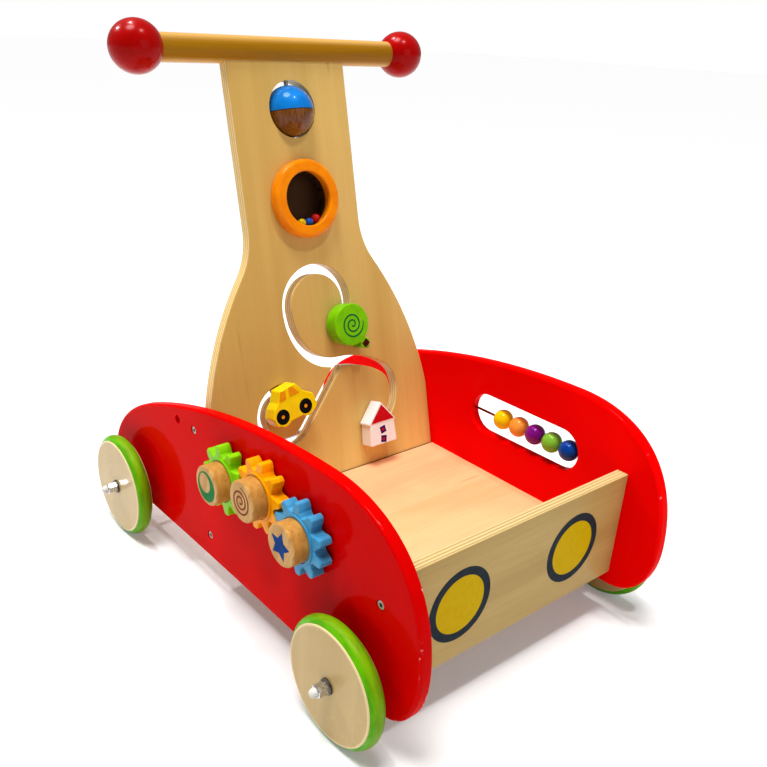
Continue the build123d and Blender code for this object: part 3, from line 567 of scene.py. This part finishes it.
def dress_toys():
    """The gears, the beads, the rattle, the spinning ball and the three sliding blocks."""
    gears = {
        "green": (colour(140, 214, 16), colour(122, 196, 8)),
        "orange": (colour(253, 172, 2), colour(242, 152, 1)),
        "blue": (colour(72, 156, 200), colour(60, 140, 186)),
    }
    for tone, (body, shade) in gears.items():
        dress(satin_plastic(f"gear_{tone}_plastic", body, shade), f"{tone}_gear")
    for tone in gears:
        node = f"{tone}_gear_knob"
        knob = beech(
            f"{tone}_knob_beech", colour(210, 164, 96), colour(184, 134, 68),
            (420, 420, 60), 0.3, middle(node), relief=0.08,
        )
        turned_side = knob.between(knob.facing((1, 0, 0)), 0.3, 0.85, 1.0, 0.0)
        wood = knob.painted()
        knob.paint(knob.mix(turned_side, wood, (0.86, 0.74, 0.52, 1), "MULTIPLY"))
        dress(knob, node)
    inks = {
        "yellow": (colour(253, 218, 6), colour(240, 198, 0)),
        "orange": (colour(252, 164, 66), colour(240, 142, 40)),
        "purple": (colour(134, 16, 140), colour(108, 8, 116)),
        "green": (colour(134, 200, 60), colour(112, 182, 44)),
        "blue": (colour(8, 74, 170), colour(4, 56, 144)),
    }
    for tone, (body, shade) in inks.items():
        dress(gloss_paint(f"bead_{tone}_gloss", body, shade, 1.0, 0.2, 0.1), f"{tone}_bead")
    for tone, body in (("blue", (20, 90, 200)), ("red", (206, 24, 20)), ("yellow", (244, 206, 10))):
        shade = [0.85 * c for c in body]
        bead = gloss_paint(f"rattle_bead_{tone}", colour(*body), colour(*shade))
        dress(bead, f"rattle_bead_{tone}")
    dress(rattle_paint(), "rattle_ring")
    dress(window_plastic(), "rattle_window")
    cover = beech("rattle_back_beech", colour(210, 166, 110), colour(182, 136, 80), (60, 260, 60))
    # Painted shade: the cover's face inside the rattle is coloured very dark brown, standing in for
    # the shade in its hollow.
    inside = cover.math("GREATER_THAN", cover.along(BOARD_OUT, RATTLE_AT), -RATTLE_FLOOR)
    cover.paint(cover.mix(inside, cover.painted(), colour(52, 28, 13)))
    dress(cover, "rattle_back_cover")
    dress(spinner_paint(), "spinner_ball")
    blocks = {
        "balloon": ("balloon_lime_gloss", colour(128, 208, 2), colour(110, 192, 1)),
        "car": ("car_yellow_gloss", colour(255, 228, 1), colour(252, 212, 1)),
        "house": ("house_white_gloss", colour(255, 255, 255), colour(248, 248, 246)),
    }
    for name, paint in blocks.items():
        dress(gloss_paint(*paint), f"{name}_block")
    pegs = beech("peg_beech", colour(214, 168, 104), colour(190, 142, 80), (60, 60, 260))
    dress(pegs, "balloon_peg", "car_peg", "house_peg")


class Sheet:
    """A flat face that carries printing: its middle, and two directions in it from outside."""

    def __init__(self, origin, right, up):
        self.origin, self.right, self.up = Vector(origin), Vector(right), Vector(up)
        self.out = self.right.cross(self.up)

    def at(self, x, y):
        return self.origin + (self.right * x + self.up * y + self.out * PRINT_LIFT) * MM


def printed(name, sheet, loops, finish, body):
    """A thin printed film: each loop of points, in millimetres on its sheet, is one face."""
    points = []
    faces = []
    for loop in loops:
        faces.append(range(len(points), len(points) + len(loop)))
        points.extend(sheet.at(x, y) for x, y in loop)
    mesh = bpy.data.meshes.new(name)
    mesh.from_pydata([tuple(p) for p in points], [], [list(face) for face in faces])
    mesh.update()
    mesh.materials.append(finish.material)
    piece = bpy.data.objects.new(name, mesh)
    bpy.context.scene.collection.objects.link(piece)
    weld = piece.modifiers.new("one_film", "WELD")
    weld.merge_threshold = 0.00001
    film = piece.modifiers.new("film_depth", "SOLIDIFY")
    film.thickness = PRINT_DEPTH * MM
    film.offset = -1.0
    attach(piece, body)


def ring_of(x, y, radius, count=72):
    angles = [2 * pi * k / count for k in range(count)]
    return [(x + radius * cos(angle), y + radius * sin(angle)) for angle in angles]


def band(outer, inner):
    """The quads between two loops that have as many points."""
    pairs = zip(outer, outer[1:] + outer[:1], inner[1:] + inner[:1], inner)
    return [list(quad) for quad in pairs]


def spiral(middle, radii, start, turns, line, steps=150):
    """The quads of a spiral line that winds inwards clockwise and narrows at its two ends."""
    sides = ([], [])
    for k in range(steps + 1):
        share = k / steps
        angle = radians(start - 360 * turns * share)
        radius = radii[0] + (radii[1] - radii[0]) * share
        half = line / 2 * min(1.0, 0.35 + 12 * share, 0.35 + 12 * (1 - share))
        for side, offset in zip(sides, (half, -half)):
            reach = radius + offset
            side.append((middle[0] + reach * cos(angle), middle[1] + reach * sin(angle)))
    outer, inner = sides
    return [[outer[k + 1], outer[k], inner[k], inner[k + 1]] for k in range(steps)]


def turned(points, degrees, x=0.0, y=0.0):
    """Points turned about the middle and then moved."""
    c, s = cos(radians(degrees)), sin(radians(degrees))
    return [(x + px * c - py * s, y + px * s + py * c) for px, py in points]


def square(width):
    half = width / 2
    return [(-half, -half), (half, -half), (half, half), (-half, half)]


def print_headlights():
    low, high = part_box("front_panel")
    up = (low.z + high.z) / 2
    dark = print_ink("ink_slate", colour(38, 48, 56), colour(30, 38, 46))
    yellow = print_ink("ink_headlight_yellow", colour(208, 172, 0), colour(202, 164, 0))
    for side, x in (("gear_side", -HEADLIGHT_ACROSS), ("bead_side", HEADLIGHT_ACROSS)):
        sheet = Sheet((x * MM, low.y, up), (1, 0, 0), (0, 0, 1))
        lamp = ring_of(0, 0, HEADLIGHT_YELLOW_RADIUS)
        rim = band(ring_of(0, 0, HEADLIGHT_DARK_RADIUS), lamp)
        printed(f"headlight_rim_{side}", sheet, rim, dark, "chassis")
        printed(f"headlight_lamp_{side}", sheet, [lamp], yellow, "chassis")


def print_joint_shadow():
    """A painted shadow: a dark line where the floor meets the back board, standing in for the shade
    in the gap between them.
    """
    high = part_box("floor_panel")[1]
    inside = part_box("front_panel")[1].x / MM - 0.5
    dark = print_ink("joint_shadow_dark_brown", colour(92, 62, 34), colour(66, 42, 22))
    strip = [(-inside, -0.9), (inside, -0.9), (inside, 0.5), (-inside, 0.5)]
    sheet = Sheet((0, high.y, high.z), (1, 0, 0), (0, 1, 0))
    printed("floor_joint_shadow_line", sheet, [strip], dark, "chassis")


def knob_sheet(tone):
    pivot = Vector(JOINTS[f"{tone}_gear_spin"]["pos_m"])
    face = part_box(f"{tone}_gear_knob")[0].x
    return Sheet((face, pivot.y, pivot.z), (0, -1, 0), (0, 0, 1))


def print_knobs():
    green = print_ink("ink_dark_green", colour(30, 122, 62), colour(24, 106, 52))
    crescent = band(ring_of(*CRESCENT_OUTER), ring_of(*CRESCENT_INNER))
    sheet = knob_sheet("green")
    printed("green_knob_crescent", sheet, crescent, green, "green_gear_body")
    brown = print_ink("ink_brown_red", colour(128, 62, 36), colour(112, 50, 28))
    sheet = knob_sheet("orange")
    printed("orange_knob_spiral", sheet, spiral(**KNOB_SPIRAL), brown, "orange_gear_body")
    navy = print_ink("ink_blue", colour(8, 60, 128), colour(4, 48, 110))
    star = []
    for k in range(10):
        angle = radians(STAR_TURN + 36 * k)
        reach = STAR_NOTCH_RADIUS if k % 2 else STAR_TIP_RADIUS
        star.append((STAR_MIDDLE[0] + reach * cos(angle), STAR_MIDDLE[1] + reach * sin(angle)))
    printed("blue_knob_star", knob_sheet("blue"), [star], navy, "blue_gear_body")


def block_sheet(name):
    """The front face of a sliding block, with its middle on the block's own turning axis."""
    pivot = Vector(JOINTS[f"{name}_block_spin"]["pos_m"])
    mesh = NODES[f"{name}_block"].data
    reach = max((v.co - pivot).dot(BOARD_OUT) for v in mesh.vertices)
    return Sheet(pivot + BOARD_OUT * reach, ACROSS, BOARD_UP)


def print_blocks():
    sheet = block_sheet("balloon")
    dark_green = print_ink("ink_balloon_green", colour(12, 112, 52), colour(8, 96, 44))
    printed("balloon_spiral", sheet, spiral(**BALLOON_SPIRAL), dark_green, "balloon_block_body")
    brown = print_ink("ink_dark_brown", colour(74, 22, 14), colour(58, 16, 10))
    printed("balloon_knot_diamond", sheet, [KNOT_DIAMOND], brown, "balloon_block_body")
    sheet = block_sheet("car")
    black = print_ink("ink_black", colour(14, 14, 14), colour(22, 22, 22))
    orange = print_ink("ink_orange", colour(246, 158, 20), colour(236, 142, 12))
    for name, x in (("front", CAR_WHEELS_APART / 2), ("rear", -CAR_WHEELS_APART / 2)):
        (cx, cy), = turned([(x, 0)], CAR_TURN, *CAR_WHEEL_LINE)
        hub = ring_of(cx, cy, CAR_HUB_RADIUS, 36)
        tread = band(ring_of(cx, cy, CAR_WHEEL_RADIUS, 36), hub)
        printed(f"car_wheel_{name}", sheet, tread, black, "car_block_body")
        printed(f"car_hub_{name}", sheet, [hub], orange, "car_block_body")
    panes = [turned(pane, CAR_TURN, *CAR_WHEEL_LINE) for pane in CAR_WINDOWS]
    printed("car_windows", sheet, panes, orange, "car_block_body")
    sheet = block_sheet("house")
    red = print_ink("ink_red", colour(206, 22, 30), colour(190, 14, 22))
    purple = print_ink("ink_deep_purple", colour(44, 26, 104), colour(34, 20, 86))
    printed("house_gable", sheet, [HOUSE_GABLE], red, "house_block_body")
    for k, (x, y, turn) in enumerate(HOUSE_SHUTTERS):
        inner = turned(square(SHUTTER_MIDDLE_WIDTH), turn, x, y)
        outer = turned(square(SHUTTER_WIDTH), turn, x, y)
        printed(f"house_shutter_{k}", sheet, band(outer, inner), purple, "house_block_body")
        printed(f"house_shutter_middle_{k}", sheet, [inner], red, "house_block_body")


def build_floor():
    """A wide pale studio floor level with the bottom of the wheels, lifted where it is seen."""
    finish = Finish("studio_floor", Roughness=0.9)
    finish.paint((0.8, 0.8, 0.8, 1))
    seen = finish.node("LightPath", {}).outputs["Is Camera Ray"]
    finish.feed(finish.shader.inputs["Emission Strength"], finish.times(seen, FLOOR_GLOW))
    finish.shader.inputs["Emission Color"].default_value = (1, 1, 1, 1)
    bpy.ops.mesh.primitive_plane_add(size=40, location=(0, 0, CAD_LOW.z))
    floor = bpy.context.object
    floor.name = "studio_floor"
    floor.data.materials.append(finish.material)


def light_world(strength):
    world = bpy.data.worlds.new("studio")
    bpy.context.scene.world = world
    world.use_nodes = True
    tree = world.node_tree
    sky = tree.nodes["Background"]
    sky.inputs["Color"].default_value = (1, 1, 1, 1)
    rays = tree.nodes.new("ShaderNodeLightPath")
    seen = tree.nodes.new("ShaderNodeMix")
    seen.inputs[2].default_value = strength
    seen.inputs[3].default_value = 1.0
    tree.links.new(rays.outputs["Is Camera Ray"], seen.inputs[0])
    tree.links.new(seen.outputs[0], sky.inputs["Strength"])


def area_light(name, place, target, size, power):
    data = bpy.data.lights.new(name, "AREA")
    data.size = size
    data.energy = power
    lamp = bpy.data.objects.new(name, data)
    bpy.context.scene.collection.objects.link(lamp)
    lamp.location = place
    lamp.rotation_mode = "QUATERNION"
    lamp.rotation_quaternion = (Vector(target) - Vector(place)).to_track_quat("-Z", "Y")


def sun_light(name, direction, strength, spread):
    data = bpy.data.lights.new(name, "SUN")
    data.energy = strength
    data.angle = radians(spread)
    lamp = bpy.data.objects.new(name, data)
    bpy.context.scene.collection.objects.link(lamp)
    lamp.rotation_mode = "QUATERNION"
    lamp.rotation_quaternion = Vector(direction).to_track_quat("-Z", "Y")


def build_lights():
    """An even white room, a broad key from above, three small lamps for the highlights, and a large
    weak one in front."""
    aim = (CAD_LOW + CAD_HIGH) / 2
    light_world(WORLD_STRENGTH)
    sun_light("key", (0.2, 0.0, -1.0), KEY_STRENGTH, KEY_SPREAD)
    for name, direction in LAMPS.items():
        area_light(name, aim + LAMP_AWAY * Vector(direction), aim, LAMP_SIZE, LAMP_POWER)
    area_light("front_fill", aim + Vector((0.3, -1.5, 0.6)), aim, FILL_SIZE, FILL_POWER)


def build_camera():
    """A hand-held view from the front, the gear side and above, with a slight roll."""
    yaw, pitch, roll = radians(CAMERA_YAW), radians(CAMERA_PITCH), radians(CAMERA_ROLL)
    ahead_level = Vector((sin(yaw), cos(yaw), 0))
    right_level = Vector((cos(yaw), -sin(yaw), 0))
    up = Vector((0, 0, 1))
    ahead = ahead_level * cos(pitch) - up * sin(pitch)
    over = up * cos(pitch) + ahead_level * sin(pitch)
    right = right_level * cos(roll) + over * sin(roll)
    top = over * cos(roll) - right_level * sin(roll)
    data = bpy.data.cameras.new("camera")
    data.lens = 39.61
    data.sensor_width = 36
    data.shift_x = 0.02458
    data.shift_y = 0.05
    data.dof.use_dof = False
    camera = bpy.data.objects.new("camera", data)
    bpy.context.scene.collection.objects.link(camera)
    turn = Matrix((right, top, -ahead)).transposed()
    camera.matrix_world = Matrix.Translation(CAMERA_AT) @ turn.to_4x4()
    bpy.context.scene.camera = camera


def set_display():
    """Plain display colours, so that the paints keep their full strength."""
    view = bpy.context.scene.view_settings
    view.view_transform = "Standard"
    view.look = "None"
    view.exposure = 0.0


dress_frame()
dress_wheels()
dress_toys()
print_headlights()
print_joint_shadow()
print_knobs()
print_blocks()
build_floor()
build_lights()
build_camera()
set_display()
